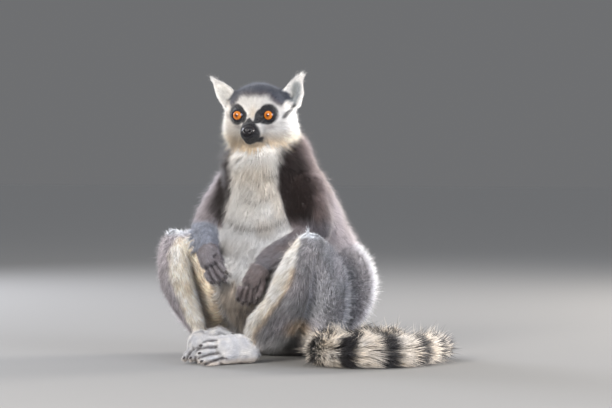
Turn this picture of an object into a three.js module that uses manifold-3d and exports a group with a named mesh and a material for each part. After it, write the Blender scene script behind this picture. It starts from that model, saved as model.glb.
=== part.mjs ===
// A ring-tailed lemur sitting upright with its knees drawn up, its hands on its belly and its
// tail curled on the ground. Each named part of the body is one closed solid that reaches out to
// the tips of the coat. Millimetres, +Z up. The animal faces -Y, its left is +X, and the origin
// is on the ground under the middle of its seat.

import * as THREE from "three";
import { mergeVertices } from "three/addons/utils/BufferGeometryUtils.js";
import Module from "manifold-3d";

const wasm = await Module();
wasm.setup();

// ---- Driving dimensions ----------------------------------------------------------------------

const GAP = 0.3; // clear space kept between neighbouring parts
const SLIT = 0.0006; // of a line's length, left clear on each side of a cut across it
const LEFT = 1;
const RIGHT = -1;

const SKULL = [0, -66, 297]; // level with the eyes, in the middle of the skull
const HEAD_YAW = 17; // degrees, turned to its left
const HEAD_PITCH = 4; // degrees, nose down

// Torso, from the seat to the top of the neck: centre y, height, half-width, half-depth.
const TORSO = [
  [4, 7, 58, 52],
  [3, 36, 80, 74],
  [0, 80, 91, 87],
  [-6, 120, 90, 88],
  [-15, 152, 82, 82],
  [-25, 182, 74, 75],
  [-34, 208, 65, 66],
  [-42, 230, 56, 56],
  [-50, 250, 51, 49],
  [-57, 268, 45, 43],
];
const TORSO_PARTS = { abdomen: [0, 4], chest: [4, 7], neck: [7, 9] }; // by row of that table
const BELLY = { at: [0, -90, 84], radius: 52, push: [0, -20, 0] };

const EYE_RADIUS = 8.6;
const EYE_AT = [19.5, -23.8, 0];
const TAIL_PARTS = 7;

// Legs, as centre and two half-sizes: the thigh from haunch to knee, upright sections whose
// height comes first, and the line of the shin from knee to ankle.
const LEGS = {
  left: {
    thigh: [
      [55, 62, 87, 33, 26],
      [60, 40, 87, 52, 43],
      [66, 12, 84, 62, 45],
      [66, -22, 79, 63, 37],
      [77, -52, 76, 68, 40],
      [82, -76, 82, 70, 37],
      [86, -94, 98, 61, 31],
      [93, -106, 126, 35, 22],
    ],
    shin: [
      [95, -100, 142, 20, 20],
      [86, -113, 117, 24, 23],
      [80, -118, 94, 28, 23],
      [71, -121, 66, 33, 18],
      [56, -128, 44, 38, 14],
      [43, -137, 28, 29, 12],
    ],
  },
  right: {
    thigh: [
      [-55, 62, 87, 33, 26],
      [-60, 40, 87, 52, 43],
      [-67, 12, 84, 62, 45],
      [-76, -22, 80, 62, 44],
      [-88, -52, 82, 63, 46],
      [-92, -76, 92, 61, 40],
      [-96, -93, 110, 50, 30],
      [-100, -104, 134, 28, 21],
    ],
    shin: [
      [-101, -97, 143, 20, 20],
      [-95, -110, 117, 25, 23],
      [-89, -114, 94, 26, 23],
      [-75, -118, 68, 23, 19],
      [-60, -122, 49, 17, 15],
      [-51, -124, 34, 13, 12],
    ],
  },
};

const COLOURS = {
  grey: 0x8b8784,
  white: 0xe6e0d6,
  dark: 0x2b2624,
  iris: 0xd9780f,
  black: 0x15130f,
};

// ---- Shapes ----------------------------------------------------------------------------------

// A limb is a sphere's grid drawn out along a smooth line. Each station is a centre and two
// half-sizes: the first along `side`, the second square to it. `ends` says how far each end
// bulges past its station, as a share of the smaller half-size there; 0 is flat. `relief` is a
// list of swellings and hollows, each a push that fades out over a radius round a point. The
// sections lie square to the line, or to `square` where that is given.
function limb(stations, options = {}) {
  const { side = [1, 0, 0], sides = 14, steps = 8, ends = [1, 1], span = [0, 1] } = options;
  const { capSteps = 3, relief = [], square = null } = options;
  const line = new THREE.CatmullRomCurve3(stations.map(([x, y, z]) => new THREE.Vector3(x, y, z)));
  const sizes = new THREE.CatmullRomCurve3(stations.map((s) => new THREE.Vector3(s[3], s[4], 0)));
  const capRows = ends.map((bulge) => (bulge > 0 ? capSteps : 1));
  const rows = capRows[0] + steps + capRows[1];
  return (grow) => {
    const grid = new THREE.SphereGeometry(1, sides, rows);
    const position = grid.getAttribute("position");
    for (let i = 0; i < position.count; i++) {
      const row = Math.floor(i / (sides + 1));
      const turn = (2 * Math.PI * (i % (sides + 1))) / sides;
      const along = THREE.MathUtils.clamp((row - capRows[0]) / steps, 0, 1);
      const t = span[0] + (span[1] - span[0]) * along;
      const centre = line.getPoint(t);
      const tangent = square ? new THREE.Vector3(...square) : line.getTangent(t);
      const across = new THREE.Vector3(...side).addScaledVector(
        tangent,
        -tangent.dot(new THREE.Vector3(...side)),
      );
      across.normalize();
      const through = new THREE.Vector3().crossVectors(across, tangent);
      const size = sizes.getPoint(t);
      const toStart = Math.max(0, capRows[0] - row) / capRows[0];
      const toEnd = Math.max(0, row - capRows[0] - steps) / capRows[1];
      const tilt = ((toStart + toEnd) * Math.PI) / 2;
      const bulge = toEnd > 0 ? ends[1] : -ends[0];
      const round = row === 0 || row === rows ? 0 : Math.cos(tilt);
      const flatStart = ends[0] === 0 && row <= capRows[0] ? -1 : 0;
      const flatEnd = ends[1] === 0 && row >= capRows[0] + steps ? 1 : 0;
      const point = (extra) =>
        centre
          .clone()
          .addScaledVector(tangent, bulge * (Math.min(size.x, size.y) + extra) * Math.sin(tilt))
          .addScaledVector(tangent, (flatStart + flatEnd) * extra)
          .addScaledVector(across, (size.x + extra) * round * Math.cos(turn))
          .addScaledVector(through, (size.y + extra) * round * Math.sin(turn));
      const place = point(grow).add(push(point(0), relief));
      position.setXYZ(i, place.x, place.y, place.z);
    }
    return solid(grid);
  };
}

function push(point, relief) {
  return relief.reduce((sum, { at, radius, push: way }) => {
    const share = Math.exp(-point.distanceToSquared(new THREE.Vector3(...at)) / radius ** 2);
    return sum.addScaledVector(new THREE.Vector3(...way), share);
  }, new THREE.Vector3());
}

// An ellipsoid, turned by degrees about X, Y and Z.
function blob({ at, radii, turn = [0, 0, 0] }, detail = [16, 10]) {
  return (grow) => {
    const ball = new THREE.SphereGeometry(1, ...detail);
    const turned = new THREE.Euler(...turn.map(THREE.MathUtils.degToRad));
    const place = new THREE.Matrix4().compose(
      new THREE.Vector3(...at),
      new THREE.Quaternion().setFromEuler(turned),
      new THREE.Vector3(...radii.map((r) => r + grow)),
    );
    return solid(ball.applyMatrix4(place));
  };
}

function solid(geometry) {
  const bare = geometry.clone().deleteAttribute("normal").deleteAttribute("uv");
  const merged = mergeVertices(bare, 1e-4);
  return new wasm.Manifold(
    new wasm.Mesh({
      numProp: 3,
      vertProperties: new Float32Array(merged.getAttribute("position").array),
      triVerts: new Uint32Array(merged.getIndex().array),
    }),
  );
}

function joined(...shapes) {
  return (grow) => shapes.map((shape) => shape(grow)).reduce((a, b) => a.add(b));
}

// A shape moved by a matrix.
function placed(shape, matrix) {
  return (grow) => shape(grow).transform(matrix.elements);
}

function mirrored(sign, [x, y, z]) {
  return [sign * x, y, z];
}

// ---- Torso and tail --------------------------------------------------------------------------

// The torso is one form, parted by thin level cuts.
function torsoPart(name) {
  const [first, last] = TORSO_PARTS[name];
  const rows = TORSO.length - 1;
  const atSeat = first === 0;
  const atHead = last === rows;
  return limb(
    TORSO.map(([y, z, w, d]) => [0, y, z, w, d]),
    {
      sides: 20,
      steps: Math.round((last - first) * 1.4),
      span: [first / rows + (atSeat ? 0 : SLIT), last / rows - (atHead ? 0 : SLIT)],
      ends: [atSeat ? 0.25 : 0, atHead ? 0.2 : 0],
      capSteps: 2,
      relief: [BELLY],
    },
  );
}
const torso = Object.keys(TORSO_PARTS).map(torsoPart);

// The tail leaves the rump, runs forward past the left haunch and hooks back on itself.
const TAIL_LINE = [
  [0, 50, 32, 15, 15],
  [40, 84, 21, 16, 16],
  [88, 80, 16, 17, 17],
  [122, 46, 16, 18, 18],
  [134, -4, 17, 19, 19],
  [127, -50, 18, 20, 20],
  [116, -90, 18, 20, 20],
  [127, -128, 18, 20, 20],
  [158, -146, 18, 20, 20],
  [193, -134, 18, 20, 20],
  [216, -103, 18, 20, 20],
  [223, -62, 18, 20, 20],
  [216, -20, 17, 19, 19],
  [204, 18, 14, 15, 15],
];

function tailPart(index) {
  const first = index === 0;
  const last = index === TAIL_PARTS - 1;
  return limb(TAIL_LINE, {
    side: [0, 0, 1],
    sides: 10,
    steps: 4,
    span: [index / TAIL_PARTS + (first ? 0 : SLIT), (index + 1) / TAIL_PARTS - (last ? 0 : SLIT)],
    ends: [first ? 0.5 : 0, last ? 1.4 : 0],
  });
}

// ---- Head ------------------------------------------------------------------------------------

const headPlace = new THREE.Matrix4()
  .makeTranslation(...SKULL)
  .multiply(new THREE.Matrix4().makeRotationZ(THREE.MathUtils.degToRad(HEAD_YAW)))
  .multiply(new THREE.Matrix4().makeRotationX(THREE.MathUtils.degToRad(HEAD_PITCH)));

// From the nose to the back of the skull, in the head's own frame.
const FACE = [
  [0, -53, -20, 9, 8],
  [0, -47, -19.5, 12, 12],
  [0, -39, -18, 13, 14.5],
  [0, -33, -14, 15, 18],
  [0, -29, -9, 20, 23],
  [0, -24, -3, 29, 31],
  [0, -15, 0, 37, 37],
  [0, -3, 0, 41, 38.5],
  [0, 12, 0, 40, 36],
  [0, 25, -2, 33, 31],
];
const faceRelief = [LEFT, RIGHT].flatMap((sign) => [
  { at: [sign * 34, -6, -24], radius: 22, push: [sign * 11 + 2, 0, -10] }, // cheek
  { at: [sign * 19, -29, 0], radius: 8, push: [0, 2, 0] }, // eye socket
  { at: [sign * 17, -25, 13], radius: 9, push: [0, -3, 0] }, // brow
]);
const skull = limb(FACE, {
  square: [0, 1, 0],
  sides: 18,
  steps: 15,
  ends: [0.6, 0.6],
  relief: faceRelief,
});
const jaw = limb(
  [
    [0, -42, -27, 9, 7],
    [0, -29, -29, 14, 11],
    [0, -8, -29, 26, 18],
  ],
  { sides: 10, steps: 4, ends: [0.7, 0.5], capSteps: 2 },
);
const noseLeather = placed(blob({ at: [0, -53, -17.5], radii: [7.5, 7, 6] }, [10, 6]), headPlace);
const eyeSize = [EYE_RADIUS, EYE_RADIUS, EYE_RADIUS];
const eyeBall = (sign) => placed(blob({ at: mirrored(sign, EYE_AT), radii: eyeSize }, [12, 8]), headPlace);
const head = placed(joined(skull, jaw), headPlace);

// An ear is a cupped leaf from its root to its tip, with a hollow scooped out of its front.
const EARS = {
  left: { root: [35, 8, 13], middle: [41, 9, 28], tip: [46.5, 10, 43] },
  right: { root: [-36, 6, 14], middle: [-47, 5, 27], tip: [-56.5, 4, 38.5] },
};
function ear({ root, middle, tip }) {
  const side = [Math.sign(root[0]) * 0.75, 0.65, -0.3];
  const inward = ([x, y, z]) => [x - Math.sign(x) * 2, y - 8, z + 2];
  const leaf = limb(
    [
      [...root, 14.5, 11],
      [...middle, 13, 8],
      [...tip, 4, 3],
    ],
    { side, sides: 10, steps: 4, ends: [0.5, 1], capSteps: 2 },
  );
  const hollow = limb(
    [
      [...inward(root), 8, 6],
      [...inward(middle), 8, 6],
      [...inward(tip.map((v, i) => v * 0.7 + middle[i] * 0.3)), 3, 3],
    ],
    { side, sides: 8, steps: 3, ends: [0.8, 1], capSteps: 2 },
  );
  return placed((grow) => (grow > 0 ? leaf(grow) : leaf(0).subtract(hollow(0))), headPlace);
}

// ---- Limbs -----------------------------------------------------------------------------------

const thigh = ({ thigh: line }) =>
  limb(line, { side: [0, 0, 1], square: [0, -1, 0], sides: 14, steps: 9, ends: [0.5, 0.6], capSteps: 2 });

const shin = ({ shin: line }) =>
  limb(line, {
    side: [0.5 * Math.sign(line[0][0]), 0.86, 0],
    sides: 12,
    steps: 7,
    ends: [0.9, 0.5],
    capSteps: 2,
  });

// Arms: the lines of the upper arm and the forearm, then the palm and its digits.
const ARMS = {
  left: {
    upper: [
      [46, -43, 212, 26, 29],
      [61, -48, 187, 24, 27],
      [70, -45, 162, 19, 20],
    ],
    fore: [
      [70, -45, 161, 17, 17],
      [49, -74, 138, 17, 17],
      [28, -99, 117, 13, 13],
    ],
    palm: [
      [25, -104, 109, 12, 14],
      [20, -117, 94, 9, 14],
    ],
    fingers: { at: [19, -120, 88], heading: [-0.2, -0.22, -0.95], across: [0.85, 0.5, -0.15] },
    thumb: { from: [32, -110, 98], bend: [33, -115, 86], to: [30, -119, 76] },
  },
  right: {
    upper: [
      [-46, -43, 211, 26, 29],
      [-67, -50, 186, 23, 26],
      [-80, -60, 161, 19, 20],
    ],
    fore: [
      [-81, -61, 160, 18, 18],
      [-69, -82, 148, 17, 17],
      [-58, -96, 137, 15, 14],
    ],
    palm: [
      [-54, -100, 130, 15, 13],
      [-42, -109, 116, 11, 15],
    ],
    fingers: { at: [-39, -112, 110], heading: [0.6, -0.1, -0.8], across: [-0.7, -0.45, -0.5] },
    thumb: { from: [-35, -112, 131], bend: [-24, -117, 120], to: [-15, -118, 106] },
  },
};

// A digit is a bent line from its knuckle to its tip.
function digit({ from, bend, to, radius }) {
  const line = [
    [...from, radius * 1.1, radius * 1.1],
    [...bend, radius, radius],
    [...to, radius * 0.8, radius * 0.8],
  ];
  return limb(line, { side: [0.1, 0.1, 1], sides: 5, steps: 2, ends: [0.2, 0.9], capSteps: 2 });
}

// Digits of these lengths side by side, like a fan from a row of knuckles. `heading` is the way
// they point and `across` the way from the first to the last.
function fan({ at, heading, across, width, lengths, spread, curl, radius }) {
  const start = new THREE.Vector3(...at);
  const ahead = new THREE.Vector3(...heading).normalize();
  const sideways = new THREE.Vector3(...across).normalize();
  const down = new THREE.Vector3(...curl);
  return lengths.map((length, i) => {
    const share = i / (lengths.length - 1) - 0.5;
    const from = start.clone().addScaledVector(sideways, share * width);
    const way = ahead.clone().addScaledVector(sideways, share * spread).normalize();
    const bend = from.clone().addScaledVector(way, length * 0.55).addScaledVector(down, 0.2);
    const to = from.clone().addScaledVector(way, length).add(down);
    return { from: from.toArray(), bend: bend.toArray(), to: to.toArray(), radius };
  });
}

const palmShape = { side: [0, 0, 1], sides: 10, steps: 3, ends: [0.7, 0.7], capSteps: 2 };

function hand({ palm, fingers, thumb }) {
  const size = { width: 19, lengths: [14, 18, 18, 14], spread: 0.2, curl: [0, 3, 0], radius: 4 };
  const digits = [...fan({ ...fingers, ...size }), { ...thumb, radius: 4.2 }];
  return joined(limb(palm, palmShape), ...digits.map(digit));
}

// Feet: the heel, instep and ball, the four toes, and the big toe that grips inwards.
const FEET = {
  left: {
    sole: [
      [37, -140, 15, 16.5, 12],
      [28, -163, 18, 18.5, 13],
      [20, -185, 15, 16.5, 11],
    ],
    toes: { at: [19, -190, 13], heading: [-0.35, -1, 0], across: [0.35, -0.2, -1], curl: [-3, 0, -3] },
    bigToe: { from: [18, -172, 29], bend: [9, -188, 28], to: [4, -202, 21] },
  },
  right: {
    sole: [
      [-50, -122, 16, 17.5, 14],
      [-34, -144, 18, 19.5, 17],
      [-23, -161, 13, 14.5, 16],
    ],
    toes: { at: [-20, -166, 12], heading: [0.3, -1, 0], across: [0.85, 0.5, 0], curl: [0, 0, -7] },
    bigToe: { from: [-22, -146, 31], bend: [-8, -143, 36], to: [7, -140, 31] },
  },
};

function foot({ sole, toes, bigToe }) {
  const size = { width: 22, lengths: [17, 21, 20, 16], spread: 0.35, radius: 4.8 };
  const digits = [...fan({ ...toes, ...size }), { ...bigToe, radius: 6 }];
  return joined(limb(sole, palmShape), ...digits.map(digit));
}

// ---- Assembly --------------------------------------------------------------------------------

const ground = (() => {
  const half = 500;
  const slab = new THREE.BoxGeometry(2 * half, 2 * half, 2 * half);
  return solid(slab.translate(0, 0, half));
})();

const materials = Object.fromEntries(
  Object.entries(COLOURS).map(([name, color]) => [
    name,
    new THREE.MeshStandardMaterial({ color, roughness: name === "iris" ? 0.1 : 0.85, metalness: 0 }),
  ]),
);

const group = new THREE.Group();

// Adds a part as one named mesh: its shape above the ground, less its grown neighbours.
function add(name, material, shape, neighbours = []) {
  const cut = neighbours.reduce((rest, next) => rest.subtract(next(GAP)), shape(0).intersect(ground));
  const pieces = cut.decompose();
  const whole = pieces.reduce((best, next) => (next.volume() > best.volume() ? next : best));
  const { numProp, vertProperties, triVerts } = whole.getMesh();
  const geometry = new THREE.BufferGeometry();
  const places = new THREE.InterleavedBuffer(vertProperties, numProp);
  geometry.setAttribute("position", new THREE.InterleavedBufferAttribute(places, 3, 0));
  geometry.setIndex(new THREE.BufferAttribute(triVerts, 1));
  const mesh = new THREE.Mesh(geometry, materials[material]);
  mesh.name = name;
  group.add(mesh);
}

const eyes = [eyeBall(LEFT), eyeBall(RIGHT)];
Object.keys(TORSO_PARTS).forEach((name, i) => {
  add(name, name === "abdomen" ? "grey" : "white", torso[i], name === "neck" ? [head] : []);
});
add("head", "white", head, [...eyes, noseLeather]);
add("nose", "black", noseLeather);
add("eye_left", "iris", eyes[0]);
add("eye_right", "iris", eyes[1]);

const feet = { left: foot(FEET.left), right: foot(FEET.right) };
for (const side of ["left", "right"]) {
  const leg = [thigh(LEGS[side]), shin(LEGS[side])];
  const arm = [ARMS[side].upper, ARMS[side].fore].map((line) =>
    limb(line, { side: [0, 0.3, 1], sides: 12, steps: 4, ends: [0.8, 0.6], capSteps: 2 }),
  );
  add("ear_" + side, "white", ear(EARS[side]), [head, ...torso]);
  add("thigh_" + side, "grey", leg[0], torso);
  add("shin_" + side, "white", leg[1], [...torso, leg[0]]);
  add("foot_" + side, "white", feet[side], [leg[1], ...(side === "right" ? [feet.left] : [])]);
  add("upper_arm_" + side, "dark", arm[0], [...torso, head, leg[0]]);
  add("forearm_" + side, "grey", arm[1], [...torso, arm[0], ...leg]);
  add("hand_" + side, "grey", hand(ARMS[side]), [...torso, arm[1], ...leg]);
}

const leftLeg = [thigh(LEGS.left), shin(LEGS.left)];
for (let i = 0; i < TAIL_PARTS; i++) {
  add("tail_" + (i + 1), "dark", tailPart(i), [...torso, ...leftLeg]);
}

export default group;
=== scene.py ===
# %% [markdown]
# # A sitting ring-tailed lemur
# The animal sits upright with its knees drawn up and its hands on its belly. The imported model
# gives its true outline. Here one skin is laid inside that outline, a coat of solid tufts grows
# out of the skin to the outline again, and the eyes, the nose and the nails are pieces of
# their own.

# %% Load the frame
import math

import bmesh
import bpy
import numpy as np
from mathutils import Matrix, Vector
from mathutils.bvhtree import BVHTree
from mathutils.kdtree import KDTree


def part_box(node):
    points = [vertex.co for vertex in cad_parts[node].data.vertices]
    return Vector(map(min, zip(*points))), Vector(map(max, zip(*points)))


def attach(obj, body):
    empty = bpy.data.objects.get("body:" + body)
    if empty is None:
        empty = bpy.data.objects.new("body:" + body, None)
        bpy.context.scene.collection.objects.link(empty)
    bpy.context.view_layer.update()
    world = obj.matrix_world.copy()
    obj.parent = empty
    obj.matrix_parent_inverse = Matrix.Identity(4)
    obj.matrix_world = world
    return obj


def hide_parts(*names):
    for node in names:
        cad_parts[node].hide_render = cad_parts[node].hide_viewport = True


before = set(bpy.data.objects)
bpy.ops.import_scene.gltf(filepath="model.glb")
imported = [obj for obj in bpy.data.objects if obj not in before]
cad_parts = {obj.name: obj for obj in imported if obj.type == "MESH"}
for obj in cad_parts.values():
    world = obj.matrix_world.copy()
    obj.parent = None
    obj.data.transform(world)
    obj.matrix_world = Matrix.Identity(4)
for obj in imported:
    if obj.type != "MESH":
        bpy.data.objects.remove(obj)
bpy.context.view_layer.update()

MM = 0.001

# %% [markdown]
# ## Objects and meshes
# Two short helpers are used all the way down. One puts an object into the scene, and the other
# turns a shape that was built face by face into a mesh.

# %% Helpers for objects
scene = bpy.context.scene


def put(name, data):
    """A new object of that name, in the scene."""
    made = bpy.data.objects.new(name, data)
    scene.collection.objects.link(made)
    return made


def mesh_from(name, shape):
    """The shape as a mesh. The shape itself is let go."""
    mesh = bpy.data.meshes.new(name)
    shape.to_mesh(mesh)
    shape.free()
    return mesh


# %% [markdown]
# ## Camera
# The camera looks almost level from in front of the animal's left knee, three metres away,
# through a long lens, so that near and far parts keep their true proportions.

# %% Camera
AZIMUTH = math.radians(32)
ELEVATION = math.radians(4.5)
DISTANCE = 3.0
LENS = 141.5
AIM_RIGHT = 0.0216
AIM_UP = 0.187
FAR_END = 100  # metres, well past the floor's edge

cam_right = Vector((math.cos(AZIMUTH), math.sin(AZIMUTH), 0))
cam_back = Vector((
    math.sin(AZIMUTH) * math.cos(ELEVATION),
    -math.cos(AZIMUTH) * math.cos(ELEVATION),
    math.sin(ELEVATION),
))
cam_up = cam_back.cross(cam_right)
aim = cam_right * AIM_RIGHT + cam_up * AIM_UP

camera = put("camera", bpy.data.cameras.new("camera"))
camera.data.lens = LENS
camera.data.clip_end = FAR_END
camera.location = cam_back * DISTANCE
camera.rotation_euler = (aim - camera.location).to_track_quat("-Z", "Y").to_euler()
scene.camera = camera
print("camera at", [round(v, 3) for v in camera.location])

# %% [markdown]
# ## Colours and nodes
# Colours are written as people name them on screens, and one function turns them to the linear
# values that light is worked out with. Another adds a node with its settings and its links, and
# a third makes a whole material round one shader.

# %% Helpers for colours and nodes
def linear(code):
    """The linear colour of an sRGB hex code."""
    parts = [int(code[i : i + 2], 16) / 255 for i in (1, 3, 5)]
    return np.array([c / 12.92 if c <= 0.04045 else ((c + 0.055) / 1.055) ** 2.4 for c in parts])


def rgba(code):
    """The same colour as a node wants it."""
    return (*linear(code), 1.0)


def add(tree, kind, settings=None, links=None):
    """Adds a node of that kind. A key names a socket, or else a property of the node."""
    made = tree.nodes.new(kind)
    for key, value in (settings or {}).items():
        if isinstance(key, int) or key in made.inputs:
            made.inputs[key].default_value = value
        else:
            setattr(made, key, value)
    for key, source in (links or {}).items():
        tree.links.new(source, made.inputs[key])
    return made


def material(name, settings):
    """A material with one shader, and its node tree and that shader for what is added later."""
    made = bpy.data.materials.new(name)
    made.use_nodes = True
    tree = made.node_tree
    tree.nodes.clear()
    output = tree.nodes.new("ShaderNodeOutputMaterial")
    shader = add(tree, "ShaderNodeBsdfPrincipled", settings)
    tree.links.new(shader.outputs[0], output.inputs["Surface"])
    return made, tree, shader


# %% [markdown]
# ## Studio
# A plain floor lies under the animal. The lights are large and soft: one from the front left, a
# weaker one from the front right, a strong low one from behind on the right, which draws a
# bright rim along the hip, and one from behind on the left.

# %% Floor
FLOOR = "#858482"
FLOOR_SIZE = 40.0

floor_shape = bmesh.new()
bmesh.ops.create_grid(floor_shape, x_segments=2, y_segments=2, size=FLOOR_SIZE / 2)
floor = put("floor", mesh_from("floor", floor_shape))
paper, *_ = material("matt_paper", {"Base Color": rgba(FLOOR), "Roughness": 0.9})
floor.data.materials.append(paper)
print("floor:", FLOOR_SIZE, "metres wide")

# %% Lights
LIGHTS = {  # right, towards the camera, up, size, watts, colour
    "key": (-1.2, 2.3, 1.1, 1.2, 98, "#fffaf4"),
    "fill": (1.9, 1.6, 0.8, 1.4, 48, "#eef3ff"),
    "rim": (1.9, -1.0, 0.5, 0.7, 76, "#fff8f0"),
    "back": (-1.4, -1.6, 1.0, 0.8, 45, "#f2f5ff"),
}
lit = Vector((0, 0, 0.15))  # the place that every light is turned to
flat_back = Vector((cam_back.x, cam_back.y, 0)).normalized()
for name, (right, near, up, size, watts, colour) in LIGHTS.items():
    lamp = bpy.data.lights.new(name, "AREA")
    lamp.size = size
    lamp.energy = watts
    lamp.color = linear(colour)
    holder = put(name, lamp)
    holder.location = cam_right * right + flat_back * near + Vector((0, 0, up))
    holder.rotation_euler = (lit - holder.location).to_track_quat("-Z", "Y").to_euler()
print("lights:", ", ".join(LIGHTS))

# %% Sky
SKY = "#c9ccd2"
SKY_STRENGTH = 0.85
BACKDROP_GAIN = 1.35  # the far floor is a little brighter than the sky's light alone makes it

world = bpy.data.worlds.new("studio")
world.use_nodes = True
tree = world.node_tree
sky = tree.nodes["Background"]
sky.inputs["Strength"].default_value = SKY_STRENGTH
path = add(tree, "ShaderNodeLightPath")
backdrop = add(tree, "ShaderNodeMix", {"data_type": "RGBA"}, {0: path.outputs["Is Camera Ray"]})
backdrop.inputs[6].default_value = rgba(SKY)
backdrop.inputs[7].default_value = (*(linear(SKY) * linear(FLOOR) * BACKDROP_GAIN), 1.0)
tree.links.new(backdrop.outputs[2], sky.inputs["Color"])
scene.world = world
scene.view_settings.view_transform = "Standard"
print("sky", SKY, "at", SKY_STRENGTH)

# %% [markdown]
# ## Measures of a mesh
# A skin of many points is shaped quickest as arrays: its points, its triangles, and the pairs of
# points that share an edge. `spread` evens out any value over neighbouring points, and `noise`
# gives smooth random values, which keep a marking's edge from looking drawn.

# %% Distances and ramps
def unit(vectors):
    return vectors / np.maximum(np.linalg.norm(vectors, axis=1), 1e-12)[:, None]


def apart(points, place, size=1):
    """How far each point is from a place, counted in `size`."""
    return np.linalg.norm((points - np.array(place)) / size, axis=1)


def ramp(value, low, high):
    """0 below low, 1 above high, and smooth between them."""
    share = np.clip((value - low) / (high - low), 0, 1)
    return share * share * (3 - 2 * share)


def fade(value, low, high):
    """1 below low, 0 above high, and smooth between them."""
    return 1 - ramp(value, low, high)


# %% Noise
PRIMES = (73856093, 19349663, 83492791, 40503, 1274126177)  # large odd factors that mix a key


def noise(points, size, seed=0):
    """Smooth random values from -1 to 1 that change over about `size` millimetres."""
    scaled = points / (size * MM)
    cell = np.floor(scaled).astype(np.int64)
    part = scaled - cell
    part = part * part * (3 - 2 * part)
    total = np.zeros(len(points))
    for corner in np.ndindex(2, 2, 2):
        at = cell + corner
        key = at[:, 0] * PRIMES[0] ^ at[:, 1] * PRIMES[1] ^ at[:, 2] * PRIMES[2]
        key = key ^ (seed + 1) * PRIMES[3]
        key = ((key ^ key >> 13) * PRIMES[4]) & 0xFFFFFFFF
        value = ((key ^ key >> 15) & 0xFFFF) / 32767.5 - 1
        total += value * np.prod(np.where(corner, part, 1 - part), axis=1)
    return total


# %% Distance from a line
def near_line(points, line):
    """For each point: how far it is from the line, and how far along the line that is."""
    line = np.array(line, float)
    best = np.full(len(points), np.inf)
    along = np.zeros(len(points))
    done = 0.0
    for start, end in zip(line[:-1], line[1:]):
        step = end - start
        length = np.linalg.norm(step)
        share = np.clip((points - start) @ step / length**2, 0, 1)
        gap = np.linalg.norm(points - start - share[:, None] * step, axis=1)
        closer = gap < best
        best = np.where(closer, gap, best)
        along = np.where(closer, done + share * length, along)
        done += length
    return best, along


# %% A surface as arrays
def mesh_values(collection, name, kind, width):
    """One value, or a row of `width` values, for each thing in a mesh's collection."""
    values = np.empty(len(collection) * width, kind)
    collection.foreach_get(name, values)
    return values.reshape(-1, width) if width > 1 else values


class Surface:
    """The points of a mesh with its triangles and edges, for work on all of them at once."""

    def __init__(self, mesh):
        mesh.calc_loop_triangles()
        self.points = mesh_values(mesh.vertices, "co", np.float32, 3).astype(float)
        self.triangles = mesh_values(mesh.loop_triangles, "vertices", np.int32, 3)
        self.corners = mesh_values(mesh.loop_triangles, "loops", np.int32, 3)
        self.edges = mesh_values(mesh.edges, "vertices", np.int32, 2)
        self.count = len(self.points)
        self.valence = np.bincount(self.edges.ravel(), minlength=self.count)

    def normals(self):
        a, b, c = (self.points[self.triangles[:, k]] for k in range(3))
        across = np.cross(b - a, c - a)
        total = np.zeros_like(self.points)
        for k in range(3):
            for axis in range(3):
                total[:, axis] += np.bincount(self.triangles[:, k], across[:, axis], self.count)
        return unit(total)

    def spread(self, values, rounds, share=0.5):
        """Moves each point's values part of the way to its neighbours' mean, again and again."""
        values = np.array(values, float)
        flat = values.ndim == 1
        values = values.reshape(self.count, -1)
        a, b = self.edges.T
        for _ in range(rounds):
            mean = np.empty_like(values)
            for k in range(values.shape[1]):
                mean[:, k] = np.bincount(a, values[b, k], self.count)
                mean[:, k] += np.bincount(b, values[a, k], self.count)
            mean /= self.valence[:, None]
            values = values + (mean - values) * share
        return values[:, 0] if flat else values

    def smooth(self, rounds, share):
        """Moves the points themselves towards their spread-out places."""
        self.points += (self.spread(self.points, rounds) - self.points) * share


# %% [markdown]
# ## Where the coat lies
# Hair lies along the body, from the head to the rump and down each limb. Each part has a line
# that its hair follows, and a row that says how deep the coat is there, how long and wide its
# tufts are, how steeply they stand, how much they gather into locks, and how speckled they are.

# %% The coat of each part
HEAD = (
    Matrix.Translation(Vector((0, -66, 297)) * MM)
    @ Matrix.Rotation(math.radians(17), 4, "Z")
    @ Matrix.Rotation(math.radians(4), 4, "X")
)
SIDES = {"left": 1, "right": -1}
HAIR_LINES = {  # millimetres, from where the hair comes to where it points
    "neck": [(0, -57, 285), (0, -42, 230), (0, -34, 205)],
    "chest": [(0, -34, 210), (0, -15, 152), (0, -6, 118)],
    "abdomen": [(0, -6, 122), (0, 0, 80), (0, 3, 30), (0, 6, 2)],
    "upper_arm_left": [(44, -40, 216), (61, -48, 187), (70, -45, 158)],
    "forearm_left": [(71, -44, 162), (49, -74, 138), (26, -101, 115)],
    "hand_left": [(27, -101, 114), (20, -117, 94), (12, -124, 70)],
    "upper_arm_right": [(-44, -42, 216), (-67, -50, 186), (-80, -60, 158)],
    "forearm_right": [(-82, -60, 162), (-69, -82, 148), (-52, -102, 130)],
    "hand_right": [(-54, -100, 131), (-42, -109, 116), (-26, -114, 92)],
    "thigh_left": [(58, 70, 82), (66, 12, 80), (80, -56, 92), (92, -92, 140), (98, -112, 152),
                   (97, -124, 140)],
    "shin_left": [(95, -98, 145), (79, -120, 94), (46, -142, 38)],
    "foot_left": [(42, -134, 20), (20, -185, 14), (10, -205, 8)],
    "thigh_right": [(-58, 70, 82), (-67, 12, 80), (-92, -54, 92), (-101, -90, 142),
                    (-104, -108, 154), (-102, -120, 142)],
    "shin_right": [(-101, -96, 146), (-89, -114, 94), (-50, -125, 32)],
    "foot_right": [(-55, -116, 20), (-28, -152, 17), (-14, -178, 8)],
    "ear_left": [(35, -75, 308), (42, -70, 330), (50, -62, 345)],
    "ear_right": [(-38, -80, 308), (-52, -85, 325), (-62, -88, 339)],
}
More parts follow.
